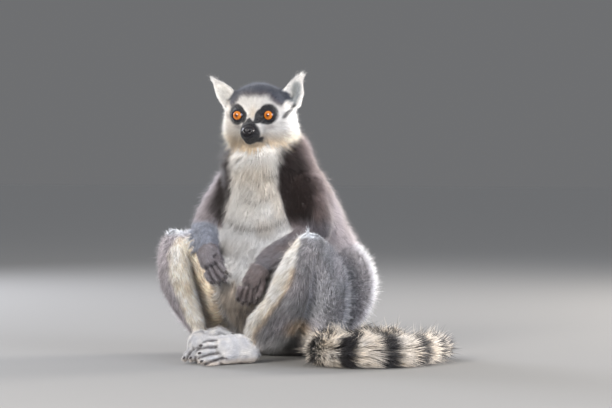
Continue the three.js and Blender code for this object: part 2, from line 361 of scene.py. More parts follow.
TAIL_LINE = [
    (0, 50, 32), (40, 84, 21), (88, 80, 16), (122, 46, 16), (134, -4, 17), (127, -50, 18),
    (116, -90, 18), (127, -128, 18), (158, -146, 18), (193, -134, 18), (216, -103, 18),
    (223, -62, 18), (216, -20, 17), (204, 18, 14),
]
COAT = {  # depth, tuft length, width in mm, lift in degrees, gathering into locks, speckle
    "head": (2.6, 7.5, 0.50, 20, 0.20, 0.05),
    "ear": (0.6, 5.5, 0.40, 15, 0.60, 0.06),
    "neck": (6.5, 17.0, 0.70, 24, 0.45, 0.07),
    "chest": (7.0, 16.0, 0.70, 22, 0.45, 0.05),
    "abdomen": (8.5, 20.0, 0.75, 23, 0.30, 0.13),
    "upper_arm": (6.5, 16.0, 0.70, 24, 0.30, 0.15),
    "forearm": (3.6, 10.0, 0.60, 20, 0.25, 0.20),
    "hand": (1.0, 7.0, 0.45, 14, 0.30, 0.16),
    "thigh": (7.0, 15.0, 0.65, 24, 0.20, 0.32),
    "shin": (5.5, 13.0, 0.65, 22, 0.20, 0.30),
    "foot": (0.9, 6.0, 0.45, 13, 0.20, 0.10),
    "tail": (11.0, 26.0, 0.90, 28, 0.30, 0.10),
}


def in_head(points):
    """Points in the head's own frame, in millimetres: x to its left, -y forward, z up."""
    back = HEAD.inverted()
    turned = points @ np.array(back.to_3x3()).T + np.array(back.translation)
    return turned / MM


def part_of(node):
    """upper_arm_left is an upper_arm, and tail_3 is a tail."""
    return node.rsplit("_", 1)[0] if "_" in node else node


BARE = ("nose", "eye_left", "eye_right")
FLESH = sorted(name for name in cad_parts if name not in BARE)
print(len(FLESH), "parts of flesh carry the coat")

# %% [markdown]
# ## Fingers and toes
# Each hand and foot has four digits side by side, like a fan from a row of knuckles, and a thumb
# or a big toe. Their middle lines are worked out once, for the furrows between them, for the
# painted shade in those furrows and for the nails.

# %% Lines of the digits
HAND = {"width": 19, "lengths": (14, 18, 18, 14), "spread": 0.2, "radius": 4.0}
FOOT = {"width": 22, "lengths": (17, 21, 20, 16), "spread": 0.35, "radius": 4.8}
FANS = {  # the middle knuckle, the way the digits point, the way across them, and their curl
    "hand_left": (HAND, (19, -120, 88), (-0.2, -0.22, -0.95), (0.85, 0.5, -0.15), (0, 3, 0)),
    "hand_right": (HAND, (-39, -112, 110), (0.6, -0.1, -0.8), (-0.7, -0.45, -0.5), (0, 3, 0)),
    "foot_left": (FOOT, (19, -190, 13), (-0.35, -1, 0), (0.35, -0.2, -1), (-3, 0, -3)),
    "foot_right": (FOOT, (-20, -166, 12), (0.3, -1, 0), (0.85, 0.5, 0), (0, 0, -7)),
}
THUMBS = {
    "hand_left": [(32, -110, 98), (33, -115, 86), (30, -119, 76)],
    "hand_right": [(-35, -112, 131), (-24, -117, 120), (-15, -118, 106)],
    "foot_left": [(18, -172, 29), (9, -188, 28), (4, -202, 21)],
    "foot_right": [(-22, -146, 31), (-8, -143, 36), (7, -140, 31)],
}
BEHIND = 8  # millimetres that a digit's line starts behind its knuckle


def digit_lines(node):
    """The middle lines of the four digits and of the thumb, in millimetres."""
    size, at, heading, across, curl = FANS[node]
    start, curl = np.array(at, float), np.array(curl, float)
    ahead, sideways = (np.array(v) / np.linalg.norm(v) for v in (heading, across))
    lines = []
    for number, length in enumerate(size["lengths"]):
        share = number / 3 - 0.5
        root = start + sideways * share * size["width"]
        way = ahead + sideways * share * size["spread"]
        way = way / np.linalg.norm(way)
        middle = root + way * length * 0.55 + curl * 0.2
        lines.append([root - way * BEHIND, root, middle, root + way * length + curl])
    return lines + [[np.array(p, float) for p in THUMBS[node]]]


DIGITS = {node: digit_lines(node) for node in FANS}
print("digits:", sum(len(lines) for lines in DIGITS.values()))

# %% [markdown]
# ## Creases
# The long white hair of the chest parts along a few soft creases. They could be sculpted, but
# lines are easier to move. They are used three times: the skin is pressed in along them, and
# the tufts there are shorter and painted darker, as painted shade in the creases.

# %% Creases of the chest
CREASES = [
    [(38, -81, 203), (31, -87, 197), (23, -91, 191), (13, -95, 184), (2, -96, 187), (-11, -94, 193)],
    [(-38, -86, 166), (-16, -96, 156), (15, -96, 153), (30, -91, 157), (46, -80, 165)],
    [(20, -88, 219), (38, -80, 218)],
    [(0, -97, 249), (7, -96, 246), (17, -94, 243)],
    [(-24, -90, 244), (-12, -95, 244)],
]


def from_creases(p):
    """How far each point is from the nearest crease, all in millimetres."""
    return np.min([near_line(p, line)[0] for line in CREASES], axis=0)


print("creases:", len(CREASES))

# %% [markdown]
# ## Skin
# The parts of flesh are one animal, so their seams must not show. Joining them by hand would
# take many cuts. A voxel remesh does it in one go: the parts are swollen by half a millimetre,
# so that they reach into each other, and wrapped in one even net of small squares. The eyes are
# wrapped too, because the lids are made from the skin over them.

# %% One skin from the parts
SWELL = 0.45 * MM
VOXEL = 2.55 * MM

joined = bmesh.new()
for name in [*FLESH, "eye_left", "eye_right"]:
    part = bmesh.new()
    part.from_mesh(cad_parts[name].data)
    bmesh.ops.remove_doubles(part, verts=part.verts, dist=0.001 * MM)
    part.normal_update()
    for vert in part.verts:
        vert.co += vert.normal * SWELL
    swollen = mesh_from("swollen", part)
    joined.from_mesh(swollen)
    bpy.data.meshes.remove(swollen)

skin = put("skin", mesh_from("rough", joined))
remesh = skin.modifiers.new("Remesh", "REMESH")
remesh.mode = "VOXEL"
remesh.voxel_size = VOXEL
worked_out = skin.evaluated_get(bpy.context.evaluated_depsgraph_get())
wrapped = bpy.data.meshes.new_from_object(worked_out)
skin.modifiers.clear()
print("wrapped:", len(wrapped.vertices), "points")

# %% [markdown]
# ## Stray islands and fine places
# Where parts meet round a hollow, the wrap may leave a closed pocket inside the body. It is an
# island of its own that nobody sees, so every island but the largest is deleted. The face and
# the paws need smaller squares than the rest, for the lids and the furrows between the digits.

# %% The net of the skin
FACE_MIDDLE = HEAD @ (Vector((0, -34, -4)) * MM)
FACE_REACH = 36 * MM
net = bmesh.new()
net.from_mesh(wrapped)
islands = []
left_over = set(net.verts)
while left_over:
    island = {left_over.pop()}
    front = set(island)
    while front:
        front = {e.other_vert(v) for v in front for e in v.link_edges} - island
        island |= front
    left_over -= island
    islands.append(island)
islands.sort(key=len)
for island in islands[:-1]:
    bmesh.ops.delete(net, geom=list(island), context="VERTS")
paws = [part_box(name) for name in FANS]


def in_paw(point):
    return any(all(low[k] < point[k] < high[k] for k in range(3)) for low, high in paws)


def in_face(point):
    return (point - FACE_MIDDLE).length < FACE_REACH


fine_edges = [
    e for e in net.edges
    if all(in_face(v.co) for v in e.verts) or all(in_paw(v.co) for v in e.verts)
]
bmesh.ops.subdivide_edges(net, edges=fine_edges, cuts=1, use_grid_fill=True, smooth=0)
skin_mesh = mesh_from("skin", net)
skin.data = skin_mesh
body = Surface(skin_mesh)
print("skin:", body.count, "points,", len(body.triangles), "triangles")
print("stray islands deleted:", len(islands) - 1)

# %% [markdown]
# ## Setting the skin back
# Each point of the skin takes the name of the part that it came from. The coat's depth is
# evened out over neighbouring points, so that it changes gently from part to part, and the skin
# then sinks by that depth in small steps. The hair is like velvet on the muzzle and round the
# eyes, long in the ruff below the cheeks, and short over the knees. The haunches are smoothed,
# and the creases of the chest are pressed in.

# %% Parts and depth
corners_of_parts = []
faces_of_parts = []
part_of_face = []
for number, name in enumerate(FLESH):
    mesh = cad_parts[name].data
    start = len(corners_of_parts)
    corners_of_parts += [v.co.copy() for v in mesh.vertices]
    faces_of_parts += [[start + i for i in face.vertices] for face in mesh.polygons]
    part_of_face += [number] * len(mesh.polygons)
finder = BVHTree.FromPolygons(corners_of_parts, faces_of_parts)
body.part = np.array([part_of_face[finder.find_nearest(Vector(p))[2]] for p in body.points])
coat_rows = np.array([COAT[part_of(name)] for name in FLESH])
coat = coat_rows[body.part]
coat[:, :3] *= MM
EVEN_ROUNDS = 14
coat = body.spread(coat, EVEN_ROUNDS)

ear = np.isin(body.part, [i for i, name in enumerate(FLESH) if name.startswith("ear")])
coat[ear] = coat_rows[body.part[ear]] * [MM, MM, MM, 1, 1, 1]
softness = np.where(ear, 0.08, 0.45)[:, None]
body.smooth(3, softness)
outer = body.points.copy()
print("coat is", round(float(np.mean(coat[:, 0])) / MM, 1), "mm deep on average")

# %% Face, ruff and knees
EYE_AT = (19.5, -23.8, 0)  # in the head's own frame, in millimetres

place = in_head(outer)
on_head = np.isin(body.part, [FLESH.index("head"), FLESH.index("neck")])
muzzle = fade(apart(place, [0, -50, -18]), 15, 29)
for side in SIDES.values():
    socket = apart(place, [side * EYE_AT[0], -28, 0])
    muzzle = np.maximum(muzzle, 0.75 * fade(socket, 11, 18))
ruff = ramp(-place[:, 2], 4, 24) * ramp(place[:, 1], -38, -20) * on_head
ruff = ruff * fade(-place[:, 2], 44, 62) * fade(place[:, 1], -2, 16)
coat[:, 0] += 2.5 * MM * ruff - 0.72 * coat[:, 0] * muzzle * on_head
coat[:, 1] *= 1 + 0.65 * ruff - 0.55 * muzzle * on_head
coat[:, 3] += 7 * ruff - 10 * muzzle * on_head
for middle in ((93, -104, 163), (-100, -102, 165)):
    knee = fade(apart(outer / MM, middle), 14, 40)
    coat[:, 1] *= 1 - 0.45 * knee
    coat[:, 3] *= 1 - 0.5 * knee
    coat[:, 4] *= 1 - 0.9 * knee
print("the shortest tufts are", round(float(coat[:, 1].min()) / MM, 1), "mm long")

# %% Sinking by the coat's depth
SINK_STEPS = 8
CREASE_DEPTH = 3.0 * MM
for _ in range(SINK_STEPS):
    body.points -= body.normals() * coat[:, :1] / SINK_STEPS
    body.smooth(2, softness)
p = body.points / MM
haunch = ramp(p[:, 1], 5, 30) * ramp(np.abs(p[:, 0]), 22, 40)
haunch = haunch * fade(p[:, 2], 140, 170)
haunch = haunch * ramp(near_line(p, TAIL_LINE)[0], 24, 40)
body.smooth(14, (haunch * 0.9)[:, None])
from_crease = from_creases(body.points / MM)
pressed = np.exp(-((from_crease / 3.5) ** 2))
body.points -= body.normals() * (CREASE_DEPTH * pressed)[:, None]
coat[:, 1] *= 1 - 0.45 * np.exp(-((from_crease / 7) ** 2))
mantle = fade(apart(outer / MM, [-40, -78, 230]), 10, 26)
coat[:, 3] += 22 * mantle
print("skin sits", round(float(np.mean(coat[:, 0])) / MM, 1), "mm deep on average")

# %% [markdown]
# ## Furrows between the digits
# The net is too coarse to keep the narrow gaps between fingers and between toes. So the points
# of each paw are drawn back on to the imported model, and those that lie midway between two digits
# are pushed in.

# %% Furrows
FURROW = 2.6 * MM
FURROW_WIDTH = 1.3  # millimetres from the middle of a furrow to its side


def furrow(points, node, width=FURROW_WIDTH):
    """1 midway between two digits of that paw, and 0 away from there."""
    size = FANS[node][0]
    gaps = np.sort([near_line(points / MM, line)[0] for line in DIGITS[node]], axis=0)
    return np.exp(-(((gaps[1] - gaps[0]) / width) ** 2)) * (gaps[0] < size["radius"] + 2.6)


for node in FANS:
    here = np.flatnonzero(body.part == FLESH.index(node))
    own = BVHTree.FromPolygons(
        [v.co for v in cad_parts[node].data.vertices],
        [face.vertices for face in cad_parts[node].data.polygons],
    )
    for point in here:
        spot, facing, _, _ = own.find_nearest(Vector(body.points[point]))
        body.points[point] += (np.array(spot - facing * 0.5 * MM) - body.points[point]) * 0.85
body.smooth(1, 0.5)
normals = body.normals()
for node in FANS:
    here = body.part == FLESH.index(node)
    body.points[here] -= normals[here] * (furrow(body.points[here], node) * FURROW)[:, None]
print("furrows cut in", len(FANS), "paws")

# %% [markdown]
# ## Eyelids
# The lids are folds of the skin, so the skin itself makes them. Inside the opening each point is
# tucked away behind the eyeball, and round the opening the points are drawn on to the ball, a
# lid's thickness above it, and let go again over a few millimetres.

# %% Eyelids
EYE_RADIUS = 8.6 * MM
GAZE = Vector((-0.10, -0.994, 0.037)).normalized()
OPENING = (0.78, 0.66)  # half-width and half-height of the opening, in radians seen from the eye
LID = 0.8 * MM
LID_REACH = 1.75  # how far the lids reach, as a share of the opening
TUCKED = 0.80  # of the eye's radius
OUTWARD = 0.04  # how far each opening faces outward of the gaze, in radians
print("eyes", EYE_RADIUS / MM * 2, "mm wide, their openings", OPENING, "radians")


# %% Frame and opening of an eye
def eye_frame(side):
    """The middle of an eye, and the directions in which its opening is wide, high and open."""
    middle = HEAD @ (Vector((side * EYE_AT[0], EYE_AT[1], EYE_AT[2])) * MM)
    turn = HEAD.to_3x3() @ Matrix.Rotation(side * OUTWARD + math.asin(GAZE.x), 3, "Z")
    return middle, turn @ Vector((1, 0, 0)), turn @ Vector((0, 0, 1)), turn @ Vector((0, -1, 0))


def opening_measure(points, side):
    """How far each point is from the opening's middle, where 1 is the lids' edge, and how far
    and which way from the ball's middle."""
    middle, wide, high, open_ = (np.array(v) for v in eye_frame(side))
    away = points - middle
    reach = np.linalg.norm(away, axis=1)
    x, z, y = away @ wide, away @ high, away @ open_
    angle = np.arctan2(np.hypot(x, z), y)
    turn = np.arctan2(z, x * side)
    tear = np.exp(-(((turn * np.sign(turn) - math.pi) / 0.5) ** 2)) * 0.16
    edge = 1 / np.hypot(np.cos(turn) / (OPENING[0] + tear), np.sin(turn) / OPENING[1])
    return angle / edge, reach, away / np.maximum(reach, 1e-9)[:, None]


# %% Lids drawn on to the balls
for side in SIDES.values():
    measure, reach, ray = opening_measure(body.points, side)
    near = reach < 2.2 * EYE_RADIUS
    hold = near * fade(measure, 1.15, LID_REACH)
    hold = hold * np.where(measure < 1, 1, 1 - 0.85 * ramp(reach / EYE_RADIUS, 1.2, 1.7))
    coat[:, 1] *= 1 - 0.75 * near * fade(measure, 1.0, 1.9)
    wanted = np.where(measure < 1, EYE_RADIUS * TUCKED, EYE_RADIUS + LID)
    reach_now = reach + (wanted - reach) * hold
    cover = near & (measure > 1)
    reach_now = np.where(cover, np.maximum(reach_now, EYE_RADIUS + LID), reach_now)
    body.points += ray * (reach_now - reach)[:, None]
print("lids drawn round", len(SIDES), "eyes")

# %% [markdown]
# ## Markings
# Skin and tufts are coloured by one function, `markings`, of the place on the body, so that they
# always agree. Each marking is a zone with a soft, slightly ragged edge, and the zones are laid
# over the ground colour in turn, like coats of paint.

# %% Colours of the coat
WHITE = linear("#faf8f5")
KNEE_WHITE = linear("#d4d9e2")
FACE_WHITE = linear("#ebe8e4")
CREAM = linear("#eddabf")
TAN = linear("#cdb08b")
# dark grey crown fur, made bluer by a painted highlight on top of the head
CROWN_WITH_BLUE_HIGHLIGHT = linear("#333c50")
BLACK = linear("#1b1b21")
SHOULDER = linear("#2f2422")
BROWN = linear("#6e5a54")
BACK_BROWN = linear("#938985")
LILAC = linear("#bdb5bb")
AGOUTI = linear("#87888c")
ARM_GREY = linear("#86868f")
# painted light: the arms' grey as the cool blue backlight tints it
ARM_GREY_IN_BLUE_LIGHT = linear("#a8b0c0")
HAND_GREY = linear("#857b7b")
PALE_GREY = linear("#c3c4c9")
RING_WHITE = linear("#cfcac4")
RING_BLACK = linear("#1d1a1c")
EAR_INSIDE = linear("#8c9192")
# painted shade in the furrows between fingers and toes
FURROW_SHADE = linear("#2a2023")
# painted shade in the creases of the chest, and the colour of a smudge across the throat
CREASE_SHADE_AND_SMUDGE = linear("#54483f")


print("white is", WHITE.round(3), "and black", BLACK.round(3))


def mixed(base, *layers):
    """A colour for each point: the base, and over it in turn each layer's colour, by its share."""
    for colour, share in zip(layers[::2], layers[1::2]):
        base = base + (colour - base) * np.clip(share, 0, 1)[:, None]
    return base


def is_part(labels, *parts):
    numbers = [i for i, name in enumerate(FLESH) if part_of(name) in parts or name in parts]
    return np.isin(labels, numbers).astype(float)


# %% Markings of the head
def head_colours(points, labels):
    """White face, dark crown with a painted bluish highlight, black eye patches and muzzle, and
    painted shade under each eye.
    """
    h = in_head(points)
    x, y, z = np.abs(h[:, 0]), h[:, 1], h[:, 2]
    left = h[:, 0] > 0
    rough = noise(points, 3, 3) * 0.9 + noise(points, 8, 4) * 1.2
    cream = ramp(-z, 16, 40) + ramp(-h[:, 0], 16, 36) * 0.35
    brow = np.exp(-((x / 5) ** 2) - ((z - 4) / 7) ** 2) * (y < -20)
    cap_edge = 25 - 15 * ramp(x, 13, 34) - ramp(y, -2, 26) * 42
    ear_root = apart(np.stack([x, y, z], 1), [41, -6, 6], [12, 15, 13])
    cap = ramp(z + rough * 1.3 - cap_edge, -2, 2) * ramp(ear_root + rough * 0.04, 0.8, 1.15)
    # painted shade: a brownish band under each eye
    under = np.hypot((x - 20) / 8, (z + 14) / 4)
    patch = np.hypot((x - np.where(left, 18.1, 22.2)) / np.where(left, 11.4, 11.6), (z - 1.6) / 13.2)
    inner = np.hypot((x - np.where(left, 9.6, 14.6)) / 6.8, (z - np.where(left, 0.6, 0.0)) / 7.6)
    lobe = np.hypot((x - np.where(left, 8.6, 12.8)) / 5.3, (z + 4.4) / 4.4)
    patch = np.minimum(np.minimum(patch, inner), lobe) + rough * 0.03
    bridge, along = near_line(h, [(-3.8, -38, -3.5), (-2.2, -46, -10), (0, -56, -15)])
    wide, deep, tall = (np.where(left, a, b) for a, b in ((14.5, 21.0), (16.5, 20.5), (14.5, 15.5)))
    snout = apart(h, [-1.5, -48, -20.5], np.stack([wide, deep, tall], 1))
    lip = near_line(np.stack([x, y, z], 1), [(6, -46, -27), (10, -37, -29), (12.5, -32, -30)])[0]
    muzzle = np.minimum(np.minimum((bridge - along * 0.58) / 2.5, snout), lip / 3.9)
    throat = near_line(h, [(-24, -24, -50), (-2, -32, -48), (6, -32, -50)])[0]
    return ear_edge(h, mixed(
        FACE_WHITE,
        CREAM, cream,
        CREAM, 0.6 * brow,
        mixed(CROWN_WITH_BLUE_HIGHLIGHT, BROWN, 0.45 * fade(z - cap_edge, 1, 8)), cap,
        # painted shade under the eyes
        BROWN, 0.45 * fade(under, 0.3, 1.2) * (y < -15),
        BLACK, fade(patch, 0.93, 1.07) * (y < -12),
        BLACK, fade(muzzle + rough * 0.02, 0.93, 1.1),
        # a brownish smudge across the throat
        CREASE_SHADE_AND_SMUDGE, 0.6 * fade(throat, 0.8, 2.5),
    ))


# %% Markings of the ears
EAR_HOLLOWS = [  # a line in the left ear and one in the right, and how grey each is
    ([(40, 1, 14), (44, 3, 24), (46, 5, 33)], 0.9),
    ([(-38, -2, 16), (-47, -2, 27)], 0.35),
]


def ear_edge(h, colours):
    """The dark line down the front edge of each ear."""
    mirrored = h.copy()
    mirrored[:, 0] = np.abs(h[:, 0])
    edge = near_line(mirrored, [(37, -19, -2), (39, -14, 2), (41, -5, 6), (43, 3, 11)])[0]
    return mixed(colours, BLACK, 0.95 * fade(edge, 1.8, 3.6) * np.where(h[:, 0] > 0, 1, 0.4))


def ear_colours(points, labels):
    """White ears with grey hollows and a dark line at their front edge."""
    h = in_head(points)
    colours = FACE_WHITE
    for line, share in EAR_HOLLOWS:
        hollow = near_line(h, line)[0] + noise(points, 3, 2) * 1.5
        colours = mixed(colours, EAR_INSIDE, share * fade(hollow, 4, 9))
    return ear_edge(h, colours)


# %% Patches of the shoulders, dark fur and painted shade
def shoulder_patch_and_shade(p):
    """How much of the shoulder's dark patch (dark fur and painted shade), the brown behind and the
    white in front.
    """
    x, y, z = np.abs(p[:, 0]), p[:, 1], p[:, 2]
    across = 0.85 * x + 0.53 * y
    rough = noise(p * MM, 5, 5) * 2.5 + noise(p * MM, 16, 6) * 4
    inner = np.interp(z, [130, 160, 175, 200, 235, 250, 258, 268], [12, 2, -7, -12, -12, -8, -1, 10])
    inner = inner - np.where(p[:, 0] < 0, np.interp(z, [185, 215, 242, 252], [0, 11, 12, 2]), 0)
    outer = np.interp(z, [155, 165, 181, 205, 235, 253, 266], [20, 27, 31, 30, 25, 18, 12])
    outer = np.where(p[:, 0] > 0, outer, outer * 0.5)
    front = fade(across + rough, inner - 2.5, inner + 2.5)
    high = ramp(z + rough, 150, 172)
    ahead = fade(y + rough, -40, -16)
    # dark: the shoulder's dark fur, with painted shade beside the chest and down the upper arm
    dark = (1 - front) * fade(across + rough, outer - 5, outer + 10) * high * ahead
    brown = fade(across + rough, outer + 6, outer + 34) * high
    return dark, brown * (1 - front), front * fade(y, -44, -30)


# %% Markings of the trunk
SPOTS = [(14, -92, 209), (17, -96, 156)]


def trunk_colours(points, labels):
    """White front, dark shoulder patches of dark fur and painted shade, grey-brown back, hips
    whitened as painted rim light, tan between the thighs.
    """
    p = points / MM
    z = p[:, 2]
    dark, brown, front = shoulder_patch_and_shade(p)
    # painted light: the hips whitened where the rim light falls along them
    painted_rim_light = ramp(np.abs(p[:, 0]), 28, 66) * fade(z, 70, 150)
    tan = apart(p, [-12, -88, 48], [60, 48, 54])
    # the abdomen low on the left, below the thigh, takes the thigh's grey in painted shade
    side = ramp(p[:, 0], 14, 30) * fade(z, 62, 84)
    spot = np.min([apart(p, at) for at in SPOTS], axis=0) / 2.2
    white = mixed(
        WHITE,
        CREAM, 0.45 * ramp(noise(points, 22, 8), -0.4, 0.9),
        KNEE_WHITE, 0.5 * fade(z, 140, 178),
        TAN, 0.52 * fade(tan + noise(points, 7, 9) * 0.15, 0.62, 1.05),
        # the thigh's agouti grey darkened by a fifth, as painted shade under the thigh
        AGOUTI * 0.8, 0.9 * side,
        # painted shade along the creases of the chest
        CREASE_SHADE_AND_SMUDGE, 0.95 * fade(from_creases(p), 0.8, 3.0),
        BROWN, 0.9 * fade(spot, 0.8, 1.8),
    )
    return mixed(
        LILAC,
        BACK_BROWN, 0.35 + 0.45 * noise(points, 30, 7),
        # painted rim light on the hips
        WHITE, 0.65 * painted_rim_light,
        BROWN, 0.75 * brown,
        # the shoulder's dark patch: dark fur and painted shade
        SHOULDER, dark,
        white, front,
    )


# %% Markings of the arms
def furrow_shade(points, labels, colours, nodes, strength):
    """Painted shade: dark brown in the furrows between the digits."""
    for node in nodes:
        share = furrow(points, node, FURROW_WIDTH * 1.6) * is_part(labels, node)
        colours = mixed(colours, FURROW_SHADE, strength * share)
    return colours


def arm_colours(points, labels):
    """Dark at the shoulder's front, of dark fur and painted shade, lilac brown outside, grey
    forearms and hands, the right ones with painted blue light.
    """
    p = points / MM
    right = p[:, 0] <= 0
    rough = noise(points, 6, 10) * 4
    dark, brown, front = shoulder_patch_and_shade(p)
    grey = mixed(
        ARM_GREY,
        BROWN, 0.3 + 0.3 * noise(points, 9, 12),
        # the right forearm made bluer, as painted blue light
        ARM_GREY_IN_BLUE_LIGHT, 0.7 * right,
    )
    hand = mixed(
        HAND_GREY,
        BROWN, 0.3 + 0.5 * noise(points, 6, 21),
        # the hands made a little bluer, as painted blue light
        ARM_GREY_IN_BLUE_LIGHT, np.where(right, 0.25, 0.1),
    )
    colours = mixed(
        LILAC,
        BACK_BROWN, np.where(right, -0.1, 0.35) + 0.4 * noise(points, 18, 11),
        BROWN, 0.75 * brown * np.where(right, 0.15, 1.0),
        # the shoulder's dark patch: dark fur and painted shade
        SHOULDER, dark,
        WHITE, front * (p[:, 2] > 165) * 0.8,
        grey, np.maximum(is_part(labels, "forearm"), fade(p[:, 2] + rough, 156, 170)),
        hand, is_part(labels, "hand"),
    )
    return furrow_shade(points, labels, colours, ("hand_left", "hand_right"), 0.65)


# %% Markings of the legs
# For the left and for the right leg: heights in millimetres, and the value at each of them.
SHIN_ACROSS = (([31, 48, 94, 142], [40, 51, 79, 95]), ([34, 49, 94, 143], [-51, -60, -89, -101]))
SHIN_AHEAD = (
    ([31, 48, 94, 142], [-144, -139, -120, -100]),
    ([34, 49, 94, 143], [-124, -122, -114, -97]),
)
EDGE_SHIFT = (([45, 95, 130, 150], [0, 2, 10, 17]), ([45, 72, 108, 143], [4, 11, 17, 19]))


def by_leg(left, z, rows):
    """The value at each height, from the row of its own leg."""
    return np.where(left, *(np.interp(z, heights, values) for heights, values in rows))


def leg_colours(points, labels):
    """Grey outside, a tan edge, and white along the front and inside of the shin."""
    p = points / MM
    left = p[:, 0] > 0
    z = p[:, 2]
    outward = (p[:, 0] - by_leg(left, z, SHIN_ACROSS)) * np.where(left, 1.0, -1.0)
    behind = p[:, 1] - by_leg(left, z, SHIN_AHEAD)
    rough = noise(points, 4, 13) * 2 + noise(points, 12, 14) * 2.5
    edge = outward + 0.35 * behind + by_leg(left, z, EDGE_SHIFT) + rough
    outside = mixed(
        AGOUTI,
        LILAC, 0.15 + 0.35 * noise(points, 22, 15),
        LILAC, np.where(left, 0.0, 0.6),
        LILAC, 0.85 * ramp(p[:, 1] + rough, -20, 15),
        WHITE, 0.35 * fade(z, 6, 40),
        WHITE, 0.6 * ramp(p[:, 1] + rough * 2, -24, 44),
    )
    inside = mixed(WHITE, CREAM, np.where(left, 0.15, 0.55) + 0.4 * noise(points, 14, 16))
    inner_thigh = is_part(labels, "thigh") * fade(np.abs(p[:, 0]) + rough, 66, 84) * (p[:, 1] < 0)
    top = np.where(left[:, None], [90.0, -104, 163], [-100.0, -104, 166])
    knee = fade(apart(p, top, [34, 34, 19]), 0.65, 1.1)
    streaks = ramp(noise(p * [1, 0.35, 1] * MM, 3.2, 22), 0.15, 0.6) * ramp(outward, -12, 4)
    patch = apart(p, [76, -104, 40], [17, 27, 19])
    return mixed(
        inside,
        outside, ramp(edge, 0, 5),
        TAN, 0.5 * np.exp(-(((edge - 2.5) / 4.5) ** 2)) * (z < 112) * left,
        mixed(inside, TAN, np.full(len(p), 0.35)), inner_thigh,
        mixed(KNEE_WHITE, SHOULDER, 0.9 * streaks), 0.95 * knee,
        TAN, 0.6 * fade(patch + rough * 0.03, 0.4, 1.1),
    )


# %% Rings of the tail
RING_PITCH = 43.0  # millimetres for a black and a white ring together
RING_START = 26.0
BLACK_SHARE = 0.52


def tail_colours(points, labels):
    """Black and white rings from the rump to a black tip."""
    p = points / MM
    along = near_line(p, TAIL_LINE)[1] + noise(points, 6, 17) * 2.6
    phase = np.mod(along - RING_START, RING_PITCH) / RING_PITCH
    ring = ramp(phase, 0, 0.07) * fade(phase, BLACK_SHARE, BLACK_SHARE + 0.07)
    ring = ring * (along > RING_START)
    end = sum(math.dist(a, b) for a, b in zip(TAIL_LINE[:-1], TAIL_LINE[1:]))
    ring = np.maximum(ring, ramp(along, end - 30, end - 26))
    return mixed(RING_WHITE, CREAM, 0.35 + 0.3 * noise(points, 15, 18), RING_BLACK, ring)


# %% Markings of the feet
def foot_colours(points, labels):
    """Pale grey feet with tan between the toes, and painted shade in their furrows."""
    p = points / MM
    pale = mixed(
        PALE_GREY,
        FACE_WHITE, 0.15 + 0.6 * noise(points, 7, 19),
        TAN, 0.35 * fade(p[:, 2], 3, 9),
    )
    return furrow_shade(points, labels, pale, ("foot_left", "foot_right"), 0.9)


# %% Colours of skin and coat
RULES = {
    head_colours: ("head",),
    ear_colours: ("ear",),
    trunk_colours: ("neck", "chest", "abdomen"),
    arm_colours: ("upper_arm", "forearm", "hand"),
    leg_colours: ("thigh", "shin"),
    foot_colours: ("foot",),
    tail_colours: ("tail",),
}


def markings(points, labels):
    """The colour of the coat at each point, from the part it belongs to."""
    colours = np.zeros((len(points), 3))
    for rule, parts in RULES.items():
        here = is_part(labels, *parts) > 0
        colours[here] = rule(points[here], labels[here])
    return colours


# %% The skin's own colours
spots = outer.copy()  # the coat's outside, but the skin itself next to the eyes
for side in SIDES.values():
    around_eye = opening_measure(body.points, side)[1] < 2.4 * EYE_RADIUS
    spots[around_eye] = body.points[around_eye]
base = markings(spots, body.part)
base = body.spread(base, 1)
print("markings:", len(base), "points coloured")

# %% [markdown]
# ## The lie of the coat
# At each point the hair points along its part's line. On the head it turns back from the nose
# over the face. The directions are evened out over the whole skin, so that the coat sweeps from
# one part into the next as real hair does.

# %% Directions of the hair
lie = np.zeros_like(body.points)
for number, name in enumerate(FLESH):
    here = body.part == number
    p = body.points[here] / MM
    if name == "head":
        h = in_head(body.points[here])
        away = unit(h - [0, -52, -14])
        away = away + np.outer(ramp(-h[:, 2], 5, 40), [0, 0.3, -0.8])
        lie[here] = away @ np.array(HEAD.to_3x3()).T
        continue
    line = np.array(HAIR_LINES.get(name, TAIL_LINE), float)
    along = near_line(p, line)[1]
    lengths = np.concatenate([[0], np.cumsum(np.linalg.norm(np.diff(line, axis=0), axis=1))])
    ahead, behind = (np.clip(along + d, 0, lengths[-1]) for d in (8, -8))
    lie[here] = unit(np.stack([
        np.interp(ahead, lengths, row) - np.interp(behind, lengths, row) for row in line.T
    ], 1))
normals = body.normals()
lie = body.spread(lie, 16)
lie = unit(lie - normals * np.sum(lie * normals, axis=1)[:, None])
print("hair laid along", len(HAIR_LINES) + 1, "lines")

# %% [markdown]
# ## Unwrap
# Each tuft needs a place of its own on the skin's unwrap, where its colours can be baked into a
# picture. The skin is unwrapped by its own shape first.

# %% Unwrap the skin
skin_mesh.vertices.foreach_set("co", body.points.astype(np.float32).ravel())
skin_mesh.update()
bpy.context.view_layer.objects.active = skin
skin.select_set(True)
bpy.ops.object.mode_set(mode="EDIT")
bpy.ops.mesh.select_all(action="SELECT")
bpy.ops.uv.smart_project(angle_limit=math.radians(66), island_margin=0.002)
bpy.ops.object.mode_set(mode="OBJECT")
skin_mesh = skin.data  # edit mode may number the corners anew, so they are read again
skin_mesh.uv_layers[0].name = "OFBake"
skin_mesh.calc_loop_triangles()
body.corners = mesh_values(skin_mesh.loop_triangles, "loops", np.int32, 3)
body.triangles = mesh_values(skin_mesh.loop_triangles, "vertices", np.int32, 3)
skin_uv = mesh_values(skin_mesh.uv_layers[0].data, "uv", np.float32, 2)
PAINT = "Coat"


def paint(mesh, colours):
    """Colours for the points of a mesh, kept in it under the name that the materials read."""
    layer = mesh.color_attributes.new(PAINT, "FLOAT_COLOR", "POINT")
    full = np.ones((len(colours), 4), np.float32)
    full[:, :3] = colours
    layer.data.foreach_set("color", full.ravel())


paint(skin_mesh, base * 0.8)
skin_mesh.shade_smooth()
print("skin unwrapped into", len(skin_mesh.uv_layers), "map")
